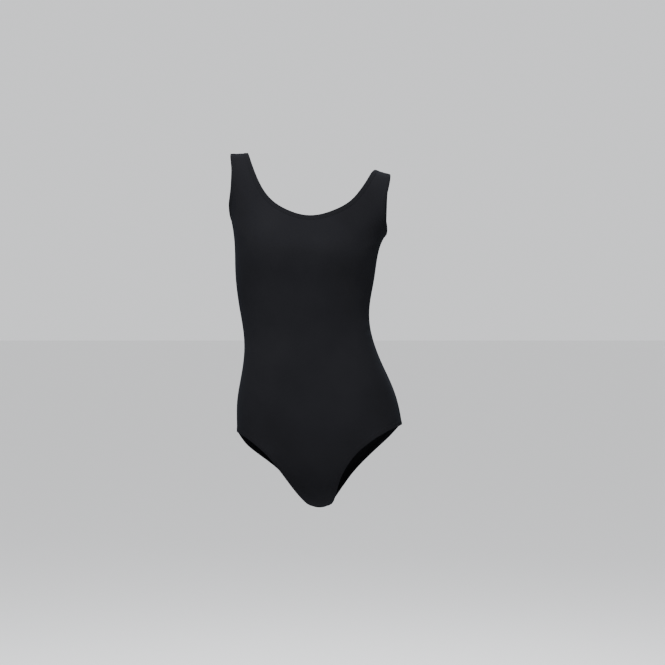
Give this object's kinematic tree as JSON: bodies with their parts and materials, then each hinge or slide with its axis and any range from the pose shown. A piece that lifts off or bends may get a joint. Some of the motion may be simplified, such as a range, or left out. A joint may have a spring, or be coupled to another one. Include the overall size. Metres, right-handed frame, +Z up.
{
  "type": "tank leotard",
  "caption": "Tank leotard in stretch knit, worn and hollow, with scoop neck, wide straps and elastic hems at neck, armholes and legs.",
  "frame": {"origin": "midway between the tops of the two straps, where the garment hangs on the wearer's shoulders", "axes": "+Z up along the worn garment, -Y to its front, +Y to its back, +X to its right as seen from the front, which is the wearer's left; left and right in the names are as seen from the front"},
  "size_m": [0.338, 0.2222, 0.6935],
  "materials": {
    "body_knit": "matt black stretch knit with a faint soft sheen",
    "hem_knit": "matt black stretch knit turned over elastic"
  },
  "bodies": {
    "root": {"front_panel": "body_knit", "back_panel": "body_knit", "neck_hem": "hem_knit", "left_arm_hem": "hem_knit", "right_arm_hem": "hem_knit", "left_leg_hem": "hem_knit", "right_leg_hem": "hem_knit"}
  },
  "joints": []
}
